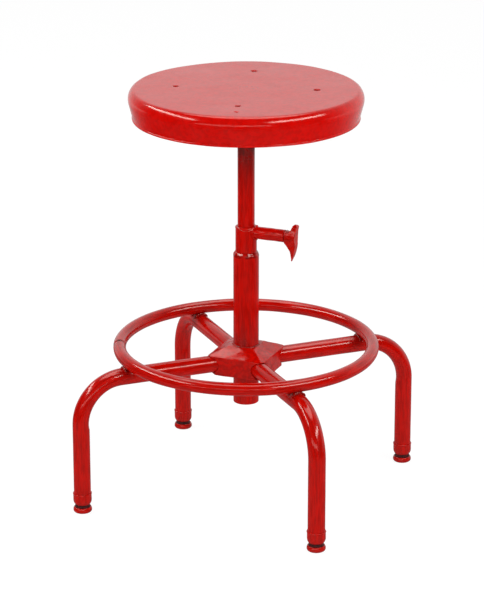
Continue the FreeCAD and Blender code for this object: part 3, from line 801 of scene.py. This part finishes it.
def joined(name, pieces):
    """Several closed skins as one piece."""
    bm = bmesh.new()
    for piece in pieces:
        bm.from_mesh(piece.data)
        bpy.data.objects.remove(piece)
    mesh = bpy.data.meshes.new(name)
    bm.to_mesh(mesh)
    bm.free()
    whole = bpy.data.objects.new(name, mesh)
    bpy.context.scene.collection.objects.link(whole)
    return whole


saddles = []
for number, degrees in enumerate(leg_angles.values()):
    for side in (-1, 1):
        path, outward = saddle_path(degrees, side * 5.9)
        saddles.append(bead("saddle", path, outward, 2.0, 4.2, 20 + number * 2 + side))
ring_welds = joined("ring_welds_skin", saddles)
# the welds are darkened at each crossing: dirt and painted shade in the crevices
weld_dirt_and_shade = [(place, 20 * mm, 0.6) for place in crossings]
fit(ring_welds, "base", ["ring_welds"], free_run, weld_dirt_and_shade, finish=weld_enamel)

# %% [markdown]
# Clamp
#
# The boss is a short bar, bored and threaded, welded to the neck. Its paint is lumpy from many coats.
# The wing screw is a malleable iron casting: one short wing and one long pointed one, with soft
# edges. Its CAD solid is rebuilt in fine voxels for the same reason as the hub.

# %% Boss and its weld
boss_corners = [(screw_bore, 0, 0), (boss_radius, 0, 0)]
boss_corners += [(boss_radius, boss_reach, 0.9), (screw_bore, boss_reach, 0.4)]
boss = turned("clamp_boss_skin", rounded(boss_corners, spacing=2), slices=72, place=along_x)
cut(boss, [drill(sleeve_radius - 0.2, 340, 440)])
wobble(boss, 0.35, 9, 30)
# the boss is darkened at its outer end, where the screw enters: dirt and painted shade
fit(boss, "base", ["clamp_boss"], lambda p: (p.x * stroke_squeeze * 3, p.y, p.z),
    [(Vector((boss_reach * mm, 0, boss_height * mm)), 12 * mm, 0.35)])


def neck_saddle():
    """Round the boss, lying on the neck."""
    path = []
    for step in range(120):
        turn = 2 * math.pi * step / 120
        side = (boss_radius + 0.5) * math.cos(turn)
        lift = (boss_radius + 0.5) * math.sin(turn)
        path.append(Vector((math.sqrt(sleeve_radius ** 2 - side ** 2) + 0.8, side, boss_height + lift)) * mm)
    return [point for point in path if point.z < (sleeve_top + 1.5) * mm]


boss_bead = bead("boss_weld_skin", neck_saddle(), Vector((1, 0, 0)), 1.5, 4.4, 31)
fit(boss_bead, "base", ["boss_weld_bead"], free_run)

# %% Wing screw
wing = voxel_copy("wing_screw_skin", ["wing_screw"], 0.45, 5)
wobble(wing, 0.18, 7, 32)
# the wing screw is darkened where it enters the boss: dirt and painted shade
fit(wing, "wing", ["wing_screw"], free_run, [(Vector((64, 0, boss_height)) * mm, 9 * mm, 0.55)])

# %% [markdown]
# Feet
#
# A steel ferrule is pressed on each tube end, with a rubber cushion under it and a domed steel glide
# riveted through. All three are turned parts. Each ferrule is dented by its own seed, and the paint
# follows each foot's place, so neither the dents nor the runs of paint repeat.

# %% Feet
ferrule_foot = foot_of("ferrule_right")
ferrule_top = top_of("ferrule_right")
glide_top = top_of("glide_cup_right")
ferrule_radius = leg_radius + 0.95


def ferrule_outline():
    corners = [(8, ferrule_foot, 0), (11.6, ferrule_foot, 0.8)]
    corners += [(13.2, ferrule_foot + 3.2, 1.4), (ferrule_radius, ferrule_foot + 6.0, 1.2)]
    corners += [(ferrule_radius, ferrule_top - 2.4, 0.5), (ferrule_radius + 0.65, ferrule_top - 1.2, 0.5)]
    corners += [(ferrule_radius + 0.2, ferrule_top, 0.4), (leg_radius - 0.3, ferrule_top, 0.1)]
    corners += [(leg_radius - 0.3, ferrule_foot + 1.5, 0.1), (8, ferrule_foot + 1.5, 0)]
    return rounded(corners, spacing=1.5)


def glide_outline():
    flat = glide_radius - 3.8
    corners = [(0, 0, 0), (flat, 0, 0)] + arc(flat, 3.8, 3.8, -90, 0, 10)
    corners += [(glide_radius - 0.1, 5.8, 0.6), (glide_radius - 1.1, glide_top, 0.7)]
    corners += [(glide_radius - 2.6, glide_top, 0.4), (glide_radius - 3.2, glide_top - 2.5, 0.8), (0, 1.6, 0)]
    return rounded(corners, closed=False, spacing=1.2)


def cushion_outline():
    neck_radius = 11.3
    corners = [(4, glide_top - 3, 0), (10.2, glide_top - 3, 0.4), (10.8, glide_top, 0.3)]
    corners += [(neck_radius - 0.3, glide_top + 0.6, 0.4)]
    corners += [(neck_radius - 0.9, (glide_top + ferrule_foot) / 2, 1.2)]
    corners += [(neck_radius, ferrule_foot - 0.4, 0.3), (neck_radius - 0.4, ferrule_foot, 0.2)]
    corners += [(4, ferrule_foot, 0)]
    return rounded(corners, spacing=0.8)


for number, (leg_name, degrees) in enumerate(leg_angles.items()):
    stand = Matrix.Translation(polar(leg_circle_radius, degrees, 0))
    # the ferrule's foot and the glide's top are darkened toward the narrow neck: painted shade there, with
    # some dirt
    joint = polar(leg_circle_radius, degrees, ferrule_foot - 2)
    cap = turned("ferrule_" + leg_name + "_skin", ferrule_outline(), slices=96, place=stand)
    wobble(cap, 0.25, 8, 40 + number)
    fit(cap, "base", ["ferrule_" + leg_name], upright_run, [(joint, 11 * mm, 0.8)])
    cup = turned("glide_cup_" + leg_name + "_skin", glide_outline(), slices=96, ends="poles", place=stand)
    fit(cup, "base", ["glide_cup_" + leg_name], round_run, [(joint, 12 * mm, 0.5)])
    pad = turned("glide_cushion_" + leg_name + "_skin", cushion_outline(), slices=72, place=stand)
    fit(pad, "base", ["glide_cushion_" + leg_name], round_run, finish=finishes["cushion_rubber"])

# %% [markdown]
# The studio
#
# The stool was photographed on a sweep of white paper, with a lamp on either side and a wide one
# overhead. The paper stays white to the camera. Gloss mirrors it only behind the stool and close to
# it: in front stands the dark room, which is why enamel that faces the viewer stays a pure red.

# %% Camera
camera_azimuth = math.radians(22.512)
camera_elevation = math.radians(18.794)
camera_distance = 4050.65
aim_height = 289.09
aim_side = -6.10
focal_pixels = 2719.85
picture_height = 611
to_side = Vector((math.cos(camera_azimuth), math.sin(camera_azimuth), 0))
to_camera = Vector((math.sin(camera_azimuth) * math.cos(camera_elevation),
                    -math.cos(camera_azimuth) * math.cos(camera_elevation), math.sin(camera_elevation)))
lens = bpy.data.cameras.new("camera")
lens.sensor_width = 36.0
lens.lens = focal_pixels / picture_height * lens.sensor_width
lens.clip_end = 50.0
camera = bpy.data.objects.new("camera", lens)
camera.location = (Vector((0, 0, aim_height)) + to_side * aim_side + to_camera * camera_distance) * mm
camera.rotation_euler = (-to_camera).to_track_quat("-Z", "Y").to_euler()
bpy.context.scene.collection.objects.link(camera)
bpy.context.scene.camera = camera
print("lens", round(lens.lens, 2), "mm")

# %% Paper floor
floor_size = 12.0
to_paper = Vector((-math.sin(camera_azimuth), math.cos(camera_azimuth), 0))
# the paper that gloss mirrors is brightest a little to the right of straight behind
to_bright = Matrix.Rotation(math.radians(-15), 3, "Z") @ to_paper
floor = bpy.data.objects.new("paper_floor", bpy.data.meshes.new("paper_floor"))
floor.data.from_pydata([(-floor_size, -floor_size, 0), (floor_size, -floor_size, 0),
                        (floor_size, floor_size, 0), (-floor_size, floor_size, 0)], [], [(0, 1, 2, 3)])
bpy.context.scene.collection.objects.link(floor)
paper, tree = empty_material("white_paper")
rays = add(tree, "ShaderNodeLightPath")
spot = add(tree, "ShaderNodeNewGeometry").outputs["Position"]
depth = add(tree, "ShaderNodeVectorMath", {"operation": "DOT_PRODUCT"}, {0: spot, 1: to_bright})
distance = add(tree, "ShaderNodeVectorMath", {"operation": "LENGTH"}, {0: spot})
far_fade = add(tree, "ShaderNodeMapRange", {"interpolation_type": "SMOOTHSTEP"}, {
    "Value": depth.outputs["Value"], "From Min": -0.2, "From Max": 2.4, "To Min": 0.01, "To Max": 0.75})
near_fade = add(tree, "ShaderNodeMapRange", {"interpolation_type": "SMOOTHSTEP"}, {
    "Value": distance.outputs["Value"], "From Min": 0.4, "From Max": 1.1, "To Min": 0.16, "To Max": 0.0})
fade = add(tree, "ShaderNodeMath", {"operation": "ADD"}, {
    0: near_fade.outputs["Result"], 1: far_fade.outputs["Result"]})
fibre = add(tree, "ShaderNodeTexNoise", {}, {"Vector": spot, "Scale": per_metre(3), "Detail": 3.0})
tone = add(tree, "ShaderNodeMix", {"data_type": "RGBA"}, {
    0: fibre.outputs["Fac"], 6: colour("#F4F4F4"), 7: colour("#FAFAFA")})
matt = add(tree, "ShaderNodeBsdfDiffuse", {}, {"Color": tone.outputs[2]})
white = add(tree, "ShaderNodeEmission", {}, {"Strength": 1.09})
far_white = add(tree, "ShaderNodeEmission", {}, {"Strength": fade.outputs[0]})
seen = add(tree, "ShaderNodeMixShader", {}, {0: 0.85, 1: matt.outputs[0], 2: white.outputs[0]})
mirrored = add(tree, "ShaderNodeMixShader", {}, {
    0: rays.outputs["Is Glossy Ray"], 1: matt.outputs[0], 2: far_white.outputs[0]})
floor_look = add(tree, "ShaderNodeMixShader", {}, {
    0: rays.outputs["Is Camera Ray"], 1: mirrored.outputs[0], 2: seen.outputs[0]})
add(tree, "ShaderNodeOutputMaterial", {}, {"Surface": floor_look.outputs[0]})
floor.data.materials.append(paper)

# %% World
world = bpy.data.worlds.new("studio")
bpy.context.scene.world = world
world.use_nodes = True
tree = world.node_tree
tree.nodes.clear()
room_light = 0.31
rays = add(tree, "ShaderNodeLightPath")
looking = add(tree, "ShaderNodeTexCoord").outputs["Generated"]
toward = add(tree, "ShaderNodeVectorMath", {"operation": "DOT_PRODUCT"}, {0: looking, 1: to_bright})
sweep_of_paper = add(tree, "ShaderNodeMapRange", {"interpolation_type": "SMOOTHSTEP"}, {
    "Value": toward.outputs["Value"], "From Min": 0.0, "From Max": 0.95, "To Min": 0.02, "To Max": 0.87})
# a wide softbox hangs over the stool, a little behind it
overhead = to_paper * math.cos(math.radians(80)) + Vector((0, 0, 1)) * math.sin(math.radians(80))
upward = add(tree, "ShaderNodeVectorMath", {"operation": "DOT_PRODUCT"}, {0: looking, 1: overhead})
roof_box = add(tree, "ShaderNodeMapRange", {"interpolation_type": "SMOOTHSTEP"}, {
    "Value": upward.outputs["Value"], "From Min": math.cos(math.radians(29)),
    "From Max": math.cos(math.radians(22)), "To Min": 0.0, "To Max": 3.2})
mirrored_room = add(tree, "ShaderNodeMath", {"operation": "ADD"}, {
    0: sweep_of_paper.outputs["Result"], 1: roof_box.outputs["Result"]})
is_shiny = add(tree, "ShaderNodeMath", {"operation": "MAXIMUM"}, {
    0: rays.outputs["Is Glossy Ray"], 1: rays.outputs["Is Transmission Ray"]})
shiny = add(tree, "ShaderNodeMix", {"data_type": "FLOAT"}, {
    0: is_shiny.outputs[0], 2: room_light, 3: mirrored_room.outputs[0]})
level = add(tree, "ShaderNodeMix", {"data_type": "FLOAT"}, {
    0: rays.outputs["Is Camera Ray"], 2: shiny.outputs[0], 3: 1.0})
sky = add(tree, "ShaderNodeBackground", {}, {"Color": (1, 1, 1, 1), "Strength": level.outputs[0]})
add(tree, "ShaderNodeOutputWorld", {}, {"Surface": sky.outputs[0]})

# %% Lamps
def softbox(name, azimuth, elevation, wide, high, radiance, distance=3.0):
    """A lamp seen from the stool in a direction and at an angular size, all in degrees."""
    turn = math.radians(azimuth)
    lift = math.radians(elevation)
    towards = Vector((math.sin(turn) * math.cos(lift), -math.cos(turn) * math.cos(lift), math.sin(lift)))
    light = bpy.data.lights.new(name, "AREA")
    light.shape = "RECTANGLE"
    light.size = 2 * distance * math.tan(math.radians(wide / 2))
    light.size_y = 2 * distance * math.tan(math.radians(high / 2))
    light.energy = radiance * math.pi * light.size * light.size_y
    lamp = bpy.data.objects.new(name, light)
    lamp.location = Vector((0, 0, 0.35)) + towards * distance
    lamp.rotation_euler = towards.to_track_quat("Z", "Y").to_euler()
    bpy.context.scene.collection.objects.link(lamp)
    print(name, round(light.energy), "W")


softbox("left_softbox", -66, 38, 60, 8, 11)
softbox("right_softbox", 76, 36, 50, 9, 11)
softbox("front_strip", 10, 10, 70, 6, 2.5)
softbox("overhead_softbox", 180, 80, 55, 50, 0.2)

# %% Colour management
bpy.context.scene.view_settings.view_transform = "Standard"
